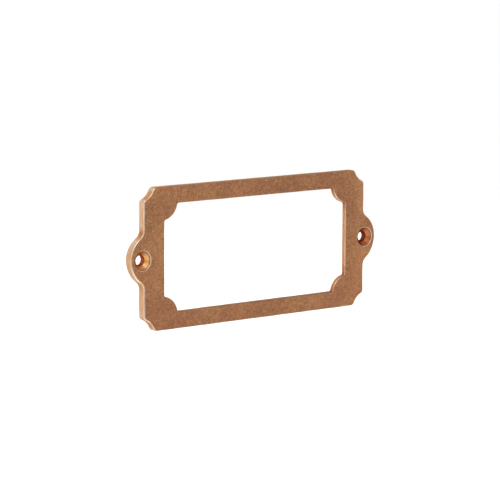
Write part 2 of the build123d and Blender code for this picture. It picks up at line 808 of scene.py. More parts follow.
    def wall_marks(
        self, trace: Trace, into: Into, depth: np.ndarray, angle: np.ndarray
    ) -> tuple[np.ndarray, ...]:
        """Works out where a wall is rubbed, cut and stained.

        Hands rub what faces the plate's ends most, so the base of every mark is the share to which
        a normal lies along x, to a power. Slanting stretches away from the hollows are barest. The
        front crest is the root of the sine of twice the easing's angle, times the rubbing, and the
        back one is a weaker sine. The wall's share goes from nought to one down the easing.

        Args:
            trace: The outline.
            into: Which way along its normals the metal lies.
            depth: Depth of each row and column below the front.
            angle: Angles of an easing's rows, as a column.

        Returns:
            The marks crest, rim, cut and tip.
        """
        r, across = self.rubbing, np.abs(trace.normals[:, 0])
        ends = across**r.power
        tight, hollow = np.clip(trace.bend, 0.0, 1.0), np.clip(-trace.bend, 0.0, 1.0)
        slanting = ends * np.clip((1.0 - across) / 0.3, 0.0, 1.0) * (1.0 - hollow)
        wall = np.clip(1.6 * depth / self.sizes.front_ease - 0.6, 0.0, 1.0)
        if into is Into.AGAINST:
            steep = np.clip((0.7 - across) / 0.35, 0.0, 1.0)
            bared = slanting * (1.0 - 0.7 * tight) + hollow * (0.8 * steep - 0.08)
            facing = r.least + (1.0 - r.least) * np.maximum(ends, r.notch * hollow)
            rubbing = facing * (r.outer + bared)
            rim = wall * (1.0 - hollow) * ends
            cut, tip = rim - wall, wall * np.maximum(r.tip * tight * ends, r.slant * slanting)
        else:
            facing = r.least + (1.0 - r.least) * ends
            rubbing = facing * (r.inner + (1.0 - r.inner) * hollow)
            rim, cut, tip = 0.0 * wall, wall, -wall * tight
        rows = len(angle)
        crest = np.zeros_like(depth)
        crest[1 : rows + 1] = np.sqrt(np.sin(2.0 * angle)) * np.clip(rubbing, 0.0, r.most)
        crest[-rows - 1 : -1] = r.back * np.sin(2.0 * angle) * ends
        return crest, rim, cut, tip

    def ruled(
        self, inner: np.ndarray, outer: np.ndarray, level: float, rows: int
    ) -> tuple[np.ndarray, np.ndarray]:
        """Joins two loops of one level by straight lines, with rows that crowd towards both ends.

        Args:
            inner: Points of the inner loop, of shape (n, 2).
            outer: Points of the outer loop, of the same shape.
            level: Level above the back.
            rows: Number of rows.

        Returns:
            The points in the plane and the grid that stands on them.
        """
        share = (0.5 - 0.5 * np.cos(np.linspace(0.0, math.pi, rows)))[:, None, None]
        plane = inner + share * (outer - inner)
        return plane, self.stand(plane, np.full(plane.shape[:2], level))

    def detour(self, first: np.ndarray, last: np.ndarray) -> np.ndarray:
        """Goes from one end of an ear's arc to the chord, along it, and out to the other end.

        Args:
            first: The arc's end where the way starts.
            last: The arc's other end, on the same side of the plate.

        Returns:
            The points, with both ends.
        """
        n = self.counts
        x = math.copysign(self.chord_x, first[0])
        knees = np.array([first, [x, first[1]], [x, last[1]], last])
        legs = zip(knees, knees[1:], (n.cut, 2 * n.chord, n.cut))
        runs = [np.linspace(start, stop, count, endpoint=False) for start, stop, count in legs]
        return np.vstack([*runs, knees[-1:]])

    def parted(self, inset: np.ndarray) -> tuple[np.ndarray, np.ndarray, np.ndarray]:
        """Parts an inset outline into the main ring's outer loop and a loop round each screw hole.

        Args:
            inset: The inset outline, of shape (n, 2), from the right ear's outermost point.

        Returns:
            The main ring's loop, which starts on the chord, and the right and the left ear's.
        """
        n = self.counts
        half, ear = len(inset) // 2, n.ear
        right = self.detour(inset[-ear], inset[ear])
        left = self.detour(inset[half - ear], inset[half + ear])
        top, bottom = inset[ear : half - ear], inset[half + ear : len(inset) - ear]
        main = np.roll(np.vstack([right[:-1], top, left[:-1], bottom]), -(n.cut + n.chord), axis=0)
        right_loop = np.vstack([inset[-ear:], inset[:ear], right[:0:-1]])
        left_loop = np.vstack([inset[half - ear : half + ear], left[:0:-1]])
        return main, right_loop, left_loop

    def hole(self, loop: np.ndarray, easing: float) -> list[Patch]:
        """Turns the screw hole's section round its axis, at the angles of the loop round it.

        The section goes from the face over the rounded break and the short lip, down the cone and
        the bore, and over a small round to the back.

        Args:
            loop: The loop round the hole in the front face.
            easing: Radius of the round at the back.

        Returns:
            The break, which is finished like the face, and the seat with its bore.
        """
        s, n, tiny = self.sizes, self.counts, self.crease
        angle = np.linspace(0.0, math.pi / 2, n.hole_break)
        face_rows = len(angle) + 1
        lip = s.thickness - s.head_break - s.head_lip
        cone = np.linspace(0.04, 0.96, n.cone)
        foot = s.thickness - s.seat_depth
        radius = np.concatenate([
            [s.head + s.head_break + self.support],
            s.head + s.head_break * (1.0 - np.sin(angle)),
            [s.head, s.head, s.head - 0.6 * tiny],
            s.head - cone * (s.head - s.bore),
            [s.bore + 0.6 * tiny, s.bore, s.bore],
            np.full(n.bore, s.bore),
            s.bore + easing * (1.0 - np.cos(angle)),
            [s.bore + easing + self.support],
        ])
        level = np.concatenate([
            [s.thickness],
            s.thickness - s.head_break * (1.0 - np.cos(angle)),
            [lip + 0.5 * s.head_lip, lip + tiny, lip],
            lip + cone * (foot - lip),
            [foot, foot - tiny, foot - 2 * tiny],
            np.linspace(foot - 0.2, easing + 0.1, n.bore),
            easing * (1.0 - np.sin(angle)),
            [0.0],
        ])
        middle = np.array([math.copysign(s.hole_spacing / 2, loop[0, 0]), 0.0])
        spoke = loop - middle
        spoke = spoke / np.linalg.norm(spoke, axis=1)[:, None]
        plane = middle + radius[:, None, None] * spoke
        grid = self.stand(plane, np.broadcast_to(level[:, None], plane.shape[:2]))
        depth = np.clip(s.thickness - s.head_break - level, 0.0, None)[:, None]
        crest = np.zeros_like(depth)
        crest[1:face_rows, 0] = self.rubbing.hole * np.sin(2.0 * angle)
        return [
            Patch(grid[part], zone, Turn.FLIPPED, depth[part], crest[part])
            for part, zone in (
                (slice(0, face_rows), Zone.FACE), (slice(face_rows - 1, None), Zone.SEAT)
            )
        ]

    def skin(self) -> list[Patch]:
        """Builds every grid of the skin.

        Returns:
            The patches, whose borders meet point for point.
        """
        s, n = self.sizes, self.counts
        plate, window, pocket = self.plate_loop(), self.window_loop(), self.pocket_loop()
        outside = self.front_easing(plate, self.easings[0], self.rubbed)
        inside = self.front_easing(window, self.easings[1], self.keen)
        behind = varied(s.back_ease, plate.points, self.crisp)
        under = np.full_like(inside, s.lip_ease)
        back_lines = [plate.offset(-behind), pocket.points]
        main, right, left = self.parted(plate.offset(-(outside + self.support)))
        back_main, back_right, back_left = self.parted(plate.offset(-(behind + self.support)))
        lip = s.pocket_depth

        face = self.ruled(window.offset(inside + self.support), main, s.thickness, n.face)[1]
        patches = [
            self.wall_band(plate, Into.AGAINST, outside, behind, 0.0, Turn.PLAIN),
            self.wall_band(window, Into.ALONG, inside, under, lip, Turn.FLIPPED),
            Patch(face, Zone.FACE, Turn.PLAIN),
        ]
        for side, loop, back in ((1.0, right, back_right), (-1.0, left, back_left)):
            middle = np.array([side * s.hole_spacing / 2, 0.0])
            spoke = (loop - middle) / np.linalg.norm(loop - middle, axis=1)[:, None]
            inner = middle + (s.head + s.head_break + self.support) * spoke
            flat = self.ruled(inner, loop, s.thickness, n.flat)[1]
            patches += [Patch(flat, Zone.FACE, Turn.PLAIN), *self.hole(loop, s.bore_ease)]
            inner = middle + (s.bore + s.bore_ease + self.support) * spoke
            patches.append(self.back_patch(inner, back, 0.0, n.back, back_lines))

        floor_stop = pocket.offset(-(s.small_ease + self.support))
        floor_start = window.offset(s.lip_ease + self.support)
        patches.append(self.back_patch(floor_start, floor_stop, lip, n.floor, [window.points]))
        patches.append(self.pocket_wall(pocket))
        ring = pocket.offset(s.small_ease + self.support)
        patches.append(self.back_patch(ring, back_main, 0.0, n.back, back_lines))
        return patches

    def back_patch(
        self, inner: np.ndarray, outer: np.ndarray, level: float, rows: int, lines: list[np.ndarray]
    ) -> Patch:
        """Makes a ruled patch that faces backwards and knows how far its edges are.

        Args:
            inner: Points of the inner loop.
            outer: Points of the outer loop.
            level: Level above the back.
            rows: Number of rows.
            lines: The closed lines of its worn edges.

        Returns:
            The patch.
        """
        plane, grid = self.ruled(inner, outer, level, rows)
        return Patch(grid, Zone.BACK, Turn.FLIPPED, distance_to(plane, lines))

    def pocket_wall(self, pocket: Trace) -> Patch:
        """Goes from the pocket's floor through a small hollow, along the wall and over its edge.

        Args:
            pocket: The pocket's outline.

        Returns:
            The patch. Its rounds have the form that wall_band gives them.
        """
        s, n = self.sizes, self.counts
        angle = np.linspace(0.0, math.pi / 2, n.pocket_ease)
        r, lip = s.small_ease, s.pocket_depth
        steps = np.concatenate([
            [-(r + self.support)],
            -r + r * np.sin(angle),
            np.zeros(n.pocket_wall),
            r * (1.0 - np.cos(angle)),
            [r + self.support],
        ])
        level = np.concatenate([
            [lip],
            lip - r * (1.0 - np.cos(angle)),
            np.linspace(lip - r, r, n.pocket_wall + 2)[1:-1],
            r * (1.0 - np.sin(angle)),
            [0.0],
        ])
        plane = pocket.points + steps[:, None, None] * pocket.normals
        grid = self.stand(plane, np.broadcast_to(level[:, None], plane.shape[:2]))
        return Patch(grid, Zone.BACK, Turn.FLIPPED, np.clip(level - r, 0.0, None)[:, None])


def as_object(
    name: str, patches: list[Patch], hole_x: float, finishes: list[bpy.types.Material]
) -> bpy.types.Object:
    """Puts grids into one smooth mesh, welds their borders and stores what the finishes read.

    Args:
        name: Name of the object.
        patches: The grids.
        hole_x: Distance of a screw hole's axis from the middle, in millimetres.
        finishes: The materials, in the order of the zones.

    Returns:
        The object, at the origin.
    """
    points = np.vstack([p.grid.reshape(-1, 3) for p in patches])
    first = np.cumsum([0] + [p.grid.shape[0] * p.grid.shape[1] for p in patches])
    quads = [p.quads(start) for p, start in zip(patches, first)]
    zones = np.concatenate([np.full(len(q), p.zone.value) for p, q in zip(patches, quads)])
    quads = np.vstack(quads)
    mesh = bpy.data.meshes.new(name)
    mesh.vertices.add(len(points))
    mesh.vertices.foreach_set("co", (points * MM).astype(np.float32).ravel())
    mesh.loops.add(quads.size)
    mesh.loops.foreach_set("vertex_index", quads.astype(np.int32).ravel())
    mesh.polygons.add(len(quads))
    mesh.polygons.foreach_set("loop_start", np.arange(0, quads.size, 4, dtype=np.int32))
    mesh.polygons.foreach_set("material_index", zones.astype(np.int32))
    mesh.polygons.foreach_set("use_smooth", np.ones(len(quads), bool))
    known = {mark: np.concatenate([p.mark(mark) for p in patches]) for mark in MARKS}
    known["axis"] = np.hypot(np.abs(points[:, 0]) - hole_x, points[:, 2])
    for key, values in known.items():
        layer = mesh.attributes.new(key, "FLOAT", "POINT")
        layer.data.foreach_set("value", values.astype(np.float32))
    mesh.update(calc_edges=True)
    for finish in finishes:
        mesh.materials.append(finish)
    work = bmesh.new()
    work.from_mesh(mesh)
    bmesh.ops.remove_doubles(work, verts=work.verts, dist=WELD * MM)
    open_edges = sum(1 for edge in work.edges if not edge.is_manifold)
    work.to_mesh(mesh)
    work.free()
    LOG.info("%s: %d faces, %d open edges", name, len(mesh.polygons), open_edges)
    made = bpy.data.objects.new(name, mesh)
    bpy.context.scene.collection.objects.link(made)
    return made


# ------------------------------------------------------------------------------ shader nodes

Value = float | tuple[float, ...] | bpy.types.NodeSocket
Sockets = bpy.types.bpy_prop_collection


class Wiring:
    """A node tree under work, with a short call for each kind of node that the finishes use."""

    def __init__(self, tree: bpy.types.NodeTree) -> None:
        """Takes the tree that the nodes go into."""
        self.tree = tree

    def feed(self, socket: bpy.types.NodeSocket, value: Value) -> None:
        """Links another socket to this one, or sets it to a plain value.

        Args:
            socket: The input.
            value: A socket, number, vector or colour.
        """
        if isinstance(value, bpy.types.NodeSocket):
            self.tree.links.new(value, socket)
        else:
            socket.default_value = value

    def node(self, kind: str, **settings: object) -> bpy.types.Node:
        """Adds a node.

        Args:
            kind: Its type.
            settings: Its own properties by name.

        Returns:
            The node.
        """
        made = self.tree.nodes.new(kind)
        for key, value in settings.items():
            setattr(made, key, value)
        return made

    def maths(self, operation: str, first: Value, second: Value = 0.0) -> bpy.types.NodeSocket:
        """Adds a Math node.

        Args:
            operation: What it works out.
            first: Its first number.
            second: Its second number, where it takes one.

        Returns:
            The result.
        """
        made = self.node("ShaderNodeMath", operation=operation)
        self.feed(made.inputs[0], first)
        self.feed(made.inputs[1], second)
        return made.outputs[0]

    def times(self, *values: Value) -> bpy.types.NodeSocket:
        """Multiplies numbers, from left to right."""
        return reduce(lambda first, second: self.maths("MULTIPLY", first, second), values)

    def total(self, *terms: tuple[Value, float]) -> bpy.types.NodeSocket:
        """Adds up numbers, each times its weight, from left to right."""
        weighed = [self.times(value, weight) for value, weight in terms]
        return reduce(lambda first, second: self.maths("ADD", first, second), weighed)

    def spread(
        self, value: Value, low: Value, high: Value, start: Value = 0.0, stop: Value = 1.0
    ) -> bpy.types.NodeSocket:
        """Maps low..high to start..stop in a smooth step, held at both ends.

        Args:
            value: The number to map.
            low: Where the step begins. It may be above high.
            high: Where the step ends.
            start: Result at low.
            stop: Result at high.

        Returns:
            The mapped number.
        """
        made = self.node("ShaderNodeMapRange", interpolation_type="SMOOTHSTEP")
        for index, item in enumerate((value, low, high, start, stop)):
            self.feed(made.inputs[index], item)
        return made.outputs[0]

    def faded(self, value: Value, least: float) -> bpy.types.NodeSocket:
        """Falls from one to the least share as the value rises from nought to one."""
        return self.spread(value, 0.0, 1.0, 1.0, least)

    def noise(
        self, place: Value, size: Value, detail: float = 3.0, rough: float = 0.6
    ) -> bpy.types.NodeSocket:
        """Adds a noise whose features are about one size apart, in the units of the place.

        Args:
            place: Where it is read.
            size: Size of its features.
            detail: How many finer layers it has.
            rough: How strong they are.

        Returns:
            The noise, from nought to one.
        """
        made = self.node("ShaderNodeTexNoise", noise_dimensions="3D")
        self.feed(made.inputs["Vector"], place)
        self.feed(made.inputs["Scale"], self.maths("DIVIDE", 1.0, size))
        made.inputs["Detail"].default_value = detail
        made.inputs["Roughness"].default_value = rough
        return made.outputs["Fac"]

    def vector(self, operation: str, first: Value, second: Value | None = None) -> bpy.types.Node:
        """Adds a Vector Math node.

        Args:
            operation: What it works out.
            first: Its first vector.
            second: Its second vector, where it takes one.

        Returns:
            The node.
        """
        made = self.node("ShaderNodeVectorMath", operation=operation)
        self.feed(made.inputs[0], first)
        if second is not None:
            self.feed(made.inputs[1], second)
        return made

    def stretched(self, place: Value, across: tuple[float, float, float]) -> bpy.types.NodeSocket:
        """Multiplies a place by a factor on each axis."""
        return self.vector("MULTIPLY", place, across).outputs[0]

    def blend(self, share: Value, first: Value, second: Value) -> bpy.types.NodeSocket:
        """Mixes two colours.

        Args:
            share: Share of the second.
            first: The colour where the share is nought.
            second: The colour where it is one.

        Returns:
            The mixed colour.
        """
        made = self.node("ShaderNodeMix", data_type="RGBA")
        for index, item in ((0, share), (6, first), (7, second)):
            self.feed(made.inputs[index], item)
        return made.outputs[2]

    def attribute(self, name: str) -> bpy.types.NodeSocket:
        """Reads a number stored at the mesh's points."""
        return self.node("ShaderNodeAttribute", attribute_name=name).outputs["Fac"]

    def effect(self, tree: bpy.types.NodeTree, **values: Value) -> Sockets:
        """Places a shared effect.

        Args:
            tree: Its node group.
            values: What its inputs are fed, with underscores for the spaces in their names.

        Returns:
            Its outputs.
        """
        made = self.node("ShaderNodeGroup", node_tree=tree)
        for key, value in values.items():
            self.feed(made.inputs[key.replace("_", " ")], value)
        return made.outputs


class Kind(Enum):
    """The kinds of socket that a shared effect has."""

    NUMBER = "NodeSocketFloat"
    VECTOR = "NodeSocketVector"


Wire = Callable[[Wiring, Sockets, Sockets], None]


def shared_effect(
    name: str, inputs: dict[str, Kind], outputs: tuple[str, ...], wire: Wire
) -> bpy.types.NodeTree:
    """Builds a node group once, with named inputs and outputs.

    Args:
        name: Name of the group.
        inputs: Its inputs by name.
        outputs: Its outputs, all of them numbers.
        wire: Joins the inputs to the outputs.

    Returns:
        The group.
    """
    tree = bpy.data.node_groups.new(name, "ShaderNodeTree")
    for key, kind in inputs.items():
        tree.interface.new_socket(name=key, in_out="INPUT", socket_type=kind.value)
    for key in outputs:
        tree.interface.new_socket(name=key, in_out="OUTPUT", socket_type=Kind.NUMBER.value)
    given, made = tree.nodes.new("NodeGroupInput"), tree.nodes.new("NodeGroupOutput")
    wire(Wiring(tree), given.outputs, made.inputs)
    return tree


def wire_mottle(w: Wiring, given: Sockets, made: Sockets) -> None:
    """Makes Blotch a coarse noise and Fleck a fine one, each stretched to run from 0 to 1.

    Args:
        w: The group's wiring.
        given: What it is given.
        made: What it puts out.
    """
    coarse = w.noise(given["Place"], given["Blotch Size"], 3.0, 0.55)
    fine = w.noise(given["Place"], given["Fleck Size"], 4.0, 0.65)
    w.feed(made["Blotch"], w.spread(coarse, 0.33, 0.67))
    w.feed(made["Fleck"], w.spread(fine, 0.3, 0.7))


def wire_grain(w: Wiring, given: Sockets, made: Sockets) -> None:
    """Makes Height a fine noise less the pits, and Pit the places where a coarser noise is lowest.

    Args:
        w: The group's wiring.
        given: What it is given.
        made: What it puts out.
    """
    grain = w.noise(given["Place"], given["Grain Size"])
    coarse = w.noise(given["Place"], w.times(given["Grain Size"], 2.7), 2.0, 0.5)
    pit = w.spread(coarse, 0.36, 0.28)
    w.feed(made["Pit"], pit)
    w.feed(made["Height"], w.maths("SUBTRACT", grain, w.times(pit, 0.6)))


def wire_wear(w: Wiring, given: Sockets, made: Sockets) -> None:
    """Makes Wear full at an edge. It fades over Reach times a ragged factor from 0.3 to 1.5.

    Args:
        w: The group's wiring.
        given: What it is given.
        made: What it puts out.
    """
    ragged = w.spread(w.noise(given["Place"], 0.9), 0.3, 0.7, 0.3, 1.5)
    share = w.maths("DIVIDE", given["Edge"], w.times(given["Reach"], ragged))
    w.feed(made["Wear"], w.spread(share, 1.0, 0.0))


def wire_brushing(w: Wiring, given: Sockets, made: Sockets) -> None:
    """Makes Height a noise drawn out twelvefold along the length, and Scratch its highest ridges.

    Args:
        w: The group's wiring.
        given: What it is given.
        made: What it puts out.
    """
    height = w.noise(w.stretched(given["Place"], (0.08, 1.0, 1.0)), given["Width"], 2.0)
    w.feed(made["Height"], height)
    w.feed(made["Scratch"], w.spread(height, 0.6, 0.72))


def wire_area(w: Wiring, given: Sockets, made: Sockets) -> None:
    """Makes Share fall smoothly from one near the centre to nought about one reach away.

    Stray moves the border by up to a quarter of the reach to both sides.

    Args:
        w: The group's wiring.
        given: What it is given.
        made: What it puts out.
    """
    offset = w.vector("SUBTRACT", given["Place"], given["Centre"]).outputs[0]
    scaled = w.vector("DIVIDE", offset, given["Reach"]).outputs[0]
    length = w.vector("LENGTH", scaled).outputs["Value"]
    strayed = w.maths("ADD", length, w.spread(given["Stray"], 0.3, 0.7, -0.25, 0.25))
    w.feed(made["Share"], w.spread(strayed, 1.1, 0.2))


@dataclass(frozen=True)
class Effects:
    """The effects that the finishes share, each a node group.

    Args:
        mottle: Blotches and flecks of patina.
        grain: The grain of a casting, and its pits.
        wear: The share to which an edge is worn.
        brushing: Fine lines along the length, and the scratches among them.
        area: The share of a soft-edged area.
    """

    mottle: bpy.types.NodeTree
    grain: bpy.types.NodeTree
    wear: bpy.types.NodeTree
    brushing: bpy.types.NodeTree
    area: bpy.types.NodeTree

    @staticmethod
    def build() -> "Effects":
        """Builds the groups. All inputs are numbers but places, centres and an area's reach.

        Returns:
            The effects.
        """
        number, place = Kind.NUMBER, {"Place": Kind.VECTOR}
        sizes = {"Blotch Size": number, "Fleck Size": number}
        grain, width = {"Grain Size": number}, {"Width": number}
        edge = {"Edge": number, "Reach": number}
        extent = {"Centre": Kind.VECTOR, "Reach": Kind.VECTOR, "Stray": number}
        return Effects(
            shared_effect("patina mottle", place | sizes, ("Blotch", "Fleck"), wire_mottle),
            shared_effect("cast grain", place | grain, ("Height", "Pit"), wire_grain),
            shared_effect("edge wear", place | edge, ("Wear",), wire_wear),
            shared_effect("fine brushing", place | width, ("Height", "Scratch"), wire_brushing),
            shared_effect("soft area", place | extent, ("Share",), wire_area),
        )


# ---------------------------------------------------------------------------------- finishes

Colour = tuple[float, float, float, float]
# Reach, in millimetres, of an area that goes through the whole thickness.
THROUGH = 99.0


def new_material(
    name: str,
) -> tuple[bpy.types.Material, Wiring, bpy.types.Node, bpy.types.NodeSocket]:
    """Starts a material.

    Args:
        name: Its name.

    Returns:
        The material, its wiring, its shader, and the place on the object in millimetres.
    """
    material = bpy.data.materials.new(name)
    material.use_nodes = True
    w = Wiring(material.node_tree)
    shader = material.node_tree.nodes["Principled BSDF"]
    place = w.node("ShaderNodeVectorMath", operation="SCALE")
    w.feed(place.inputs[0], w.node("ShaderNodeTexCoord").outputs["Object"])
    place.inputs["Scale"].default_value = 1.0 / MM
    return material, w, shader, place.outputs[0]


def bumped(
    w: Wiring, shader: bpy.types.Node, height: Value, depth: float, strength: float
) -> None:
    """Feeds a height to the shader's normal through a Bump node.

    Args:
        w: The material's wiring.
        shader: Its shader.
        height: The height, from nought to one.
        depth: Its full range in millimetres.
        strength: How strongly it shows.
    """
    bump = w.node("ShaderNodeBump")
    bump.inputs["Strength"].default_value = strength
    bump.inputs["Distance"].default_value = depth * MM
    w.feed(bump.inputs["Height"], height)
    w.feed(shader.inputs["Normal"], bump.outputs[0])


def mottled(w: Wiring, effects: Effects, place: Value, sizes: tuple[float, float]) -> Sockets:
    """Places the patina mottle with blotches and flecks of two sizes, and gives its outputs."""
    return w.effect(effects.mottle, Place=place, Blotch_Size=sizes[0], Fleck_Size=sizes[1])


@dataclass(frozen=True)
class Area:
    """A soft-edged part of the surface whose tone and colour are shifted.

    Args:
        x: Its centre along the length, in millimetres.
        z: Its centre up the height.
        wide: Its half length.
        high: Its half height.
        lighter: What it adds to the tone at its centre.
        redder: What it adds to the share of the redder patina.
    """

    x: float
    z: float
    wide: float
    high: float
    lighter: float = 0.0
    redder: float = 0.0

    def share(
        self, w: Wiring, effects: Effects, place: Value, stray: Value
    ) -> bpy.types.NodeSocket:
        """Says how much of the area's change a place takes, through the whole thickness.

        Args:
            w: The material's wiring.
            effects: The shared effects.
            place: The place on the object.
            stray: The noise that its border follows.

        Returns:
            The share, from nought to one.
        """
        centre, reach = (self.x, 0.0, self.z), (self.wide, THROUGH, self.high)
        made = w.effect(effects.area, Place=place, Centre=centre, Reach=reach, Stray=stray)
        return made["Share"]


@dataclass(frozen=True)
class AgedFace:
    """The brown skin of the front and the outer wall, rubbed bright along the edges.

    Args:
        dark: Colour of the deepest patina.
        mauve: Colour of its redder patches.
        light: Colour of the rubbed patches.
        fleck: Colour of the small bare spots.
        rim: Colour of the outer wall.
        streak: Colour of its redder streaks.
        cut: Colour of the window's wall.
        burnt: Colour of the redder stretches of that wall.
        notch: Darker, more orange colour of the outer wall's hollows, painted shade and
            reflections.
        tip: Colour of the outer wall where it is rubbed palest.
        stain: Colour of the stained coves.
        worn: Colour of the rubbed edges.
        bare: Colour of the rubbed edges where they slant, which are barest.
        edge_tint: How much light the metal gives back at a grazing angle.
        rough: Lowest and highest roughness.
        worn_rough: Roughness of the rubbed edges.
        broad: Sizes of the broad blotches and of the flecks in them, in millimetres.
        small: Sizes of the small ones.
        tint: Sizes of the patches that differ in redness.
        wall: Sizes of the blotches on the walls.
        speck: Size of the dark and the bare specks.
        pits: Size of the grain whose pits darken the face.
        grain: Size of the grain that the face is rough with.
        scratches: Width of the brushing whose scratches lighten the face.
        brushing: Width of the brushing that the face is rough with.
        stray: Size of the noise that the borders of the face's areas follow.
        wall_stray: Size of the noise that the borders of the walls' areas follow.
        relief: Depth of the cast skin in millimetres, and how strongly it shows.
        areas: Parts of the face that are lighter or darker than the rest; the two at the right-hand
            end are painted light.
        thumbed: The part of the outer wall that handling has dulled.
        reddened: A part of the outer wall where the streaks are redder.
        spot: A stained part of the outer wall.
        bleached: The palest part of the window's wall, on one lobe.
        soiled: The stained parts of the window's wall beside the coves, in the quarter where x and
            z are positive. The other quarters mirror it.
    """

    dark: Colour = (0.18, 0.084, 0.041, 1.0)
    mauve: Colour = (0.288, 0.108, 0.063, 1.0)
    light: Colour = (0.39, 0.195, 0.088, 1.0)
    fleck: Colour = (0.53, 0.31, 0.17, 1.0)
    rim: Colour = (0.545, 0.388, 0.252, 1.0)
    streak: Colour = (0.54, 0.29, 0.15, 1.0)
    cut: Colour = (0.475, 0.24, 0.11, 1.0)
    burnt: Colour = (0.34, 0.135, 0.05, 1.0)
    notch: Colour = (0.515, 0.265, 0.122, 1.0)
    tip: Colour = (0.74, 0.61, 0.48, 1.0)
    stain: Colour = (0.3, 0.08, 0.03, 1.0)
    worn: Colour = (0.8, 0.64, 0.48, 1.0)
    bare: Colour = (0.93, 0.8, 0.66, 1.0)
    edge_tint: Colour = (0.75, 0.58, 0.46, 1.0)
    rough: tuple[float, float] = (0.32, 0.46)
    worn_rough: float = 0.22
    broad: tuple[float, float] = (9.0, 2.6)
    small: tuple[float, float] = (1.0, 0.42)
    tint: tuple[float, float] = (7.0, 2.0)
    wall: tuple[float, float] = (1.0, 0.35)
    speck: float = 0.36
    pits: float = 0.2
    grain: float = 0.25
    scratches: float = 0.3
    brushing: float = 0.25
    stray: float = 4.0
    wall_stray: float = 1.5
    relief: tuple[float, float] = (0.025, 0.6)
    areas: tuple[Area, ...] = (
        Area(12.0, 17.0, 28.0, 7.0, -0.1, -0.05),
        Area(3.0, -17.0, 17.0, 5.0, -0.04, 0.08),
        Area(22.0, -16.0, 8.0, 5.0, 0.1),
        Area(-32.0, 3.0, 8.0, 13.0, 0.09, -0.05),
        Area(-34.0, -16.0, 16.0, 9.0, -0.05, 0.2),
        Area(30.0, -14.0, 9.0, 7.0, 0.0, 0.2),
        Area(29.0, 10.0, 5.0, 10.0, -0.13, 0.2),
        Area(32.0, 0.0, 3.5, 6.0, -0.13),
        # Painted light: these two lighten the right-hand end, making up for the lamps' light that
        # falls off there.
        Area(38.0, -6.0, 7.5, 5.5, 0.26, -0.1),
        Area(38.0, 11.0, 5.0, 9.0, 0.28, -0.1),
    )
    thumbed: Area = Area(-42.5, 0.0, 3.0, 2.8)
    reddened: Area = Area(-38.5, -11.0, 4.0, 5.0)
    spot: Area = Area(-37.8, 7.3, 2.4, 1.8)
    bleached: Area = Area(29.2, 11.2, 2.6, 2.4)
    soiled: tuple[Area, Area] = (Area(26.5, 13.5, 1.7, 2.2), Area(31.0, 9.2, 1.3, 2.0))

    def tone(
        self, w: Wiring, effects: Effects, place: Value
    ) -> tuple[bpy.types.NodeSocket, bpy.types.NodeSocket]:
        """Mixes the face's mottle out of three sizes of blotch, brushing, specks and pits.

        Args:
            w: The material's wiring.
            effects: The shared effects.
            place: The place on the object.

        Returns:
            The colour, and the finest noise for the roughness to follow.
        """
        broad = mottled(w, effects, place, self.broad)
        small = mottled(w, effects, place, self.small)
        tint = mottled(w, effects, w.stretched(place, (-1.0, 1.0, 1.0)), self.tint)
        tone = w.total(
            (broad["Blotch"], 0.2), (broad["Fleck"], 0.12),
            (small["Blotch"], 0.25), (small["Fleck"], 0.43),
        )
        redder = w.total((tint["Blotch"], 0.15), (tint["Fleck"], 0.3))
        stray = w.noise(place, self.stray)
        for area in self.areas:
            share = area.share(w, effects, place, stray)
            tone = w.maths("ADD", tone, w.times(share, area.lighter))
            redder = w.maths("ADD", redder, w.times(share, area.redder))
        colour = w.blend(w.spread(tone, 0.1, 0.9), self.dark, self.light)
        colour = w.blend(redder, colour, self.mauve)
        scratch = w.effect(effects.brushing, Place=place, Width=self.scratches)["Scratch"]
        colour = w.blend(w.times(scratch, 0.3), colour, self.light)
        speck = w.noise(place, self.speck)
        colour = w.blend(w.spread(speck, 0.5, 0.34, 0.0, 0.55), colour, self.dark)
        colour = w.blend(w.spread(speck, 0.54, 0.7, 0.0, 0.42), colour, self.fleck)
        pit = w.effect(effects.grain, Place=place, Grain_Size=self.pits)["Pit"]
        return w.blend(w.times(pit, 0.4), colour, self.dark), small["Fleck"]

    def material(self, effects: Effects) -> bpy.types.Material:
        """Builds the material: the mottle, then the walls, the stains and the rubbed edges.

        Args:
            effects: The shared effects.

        Returns:
            The material.
        """
        made, w, shader, place = new_material("aged face")
        colour, fine = self.tone(w, effects, place)
        stray = w.noise(place, self.wall_stray)
        thumbed, reddened, spot, bleached = (
            part.share(w, effects, place, stray)
            for part in (self.thumbed, self.reddened, self.spot, self.bleached)
        )
        folded = w.vector("ABSOLUTE", place).outputs[0]
        soils = (part.share(w, effects, folded, stray) for part in self.soiled)
        soil = w.maths("MAXIMUM", *soils)

        wall = mottled(w, effects, w.stretched(place, (1.0, 2.4, 0.5)), self.wall)
        uneven = w.spread(wall["Fleck"], 0.0, 1.0, 0.7, 1.0)
        streaked = w.maths("ADD", wall["Blotch"], w.times(reddened, 0.45))
        rim = w.blend(w.spread(streaked, 0.35, 1.0, 0.0, 0.75), self.rim, self.streak)
        rim = w.blend(w.times(thumbed, 0.4), rim, self.notch)
        cut = w.times(w.attribute("cut"), uneven)
        inner, outer = w.spread(cut, 0.0, 1.0), w.spread(cut, 0.0, -1.0)
        inside = w.blend(w.spread(wall["Blotch"], 0.3, 1.0, 0.0, 0.7), self.cut, self.burnt)
        inside = w.blend(w.times(bleached, 0.85), inside, self.rim)
        colour = w.blend(inner, colour, inside)
        # Painted shade and reflection: the outer wall's notches and blends take the darker, more
        # orange hollow colour.
        colour = w.blend(outer, colour, self.notch)
        colour = w.blend(w.times(w.attribute("rim"), uneven), colour, rim)

        tip = w.times(w.attribute("tip"), uneven)
        colour = w.blend(w.spread(tip, 0.0, 1.0), colour, self.tip)
        colour = w.blend(w.spread(tip, 0.0, -0.6, 0.0, 0.85), colour, self.stain)
        colour = w.blend(w.times(spot, outer, 0.6), colour, self.stain)
        colour = w.blend(w.times(soil, inner, 0.7), colour, self.stain)

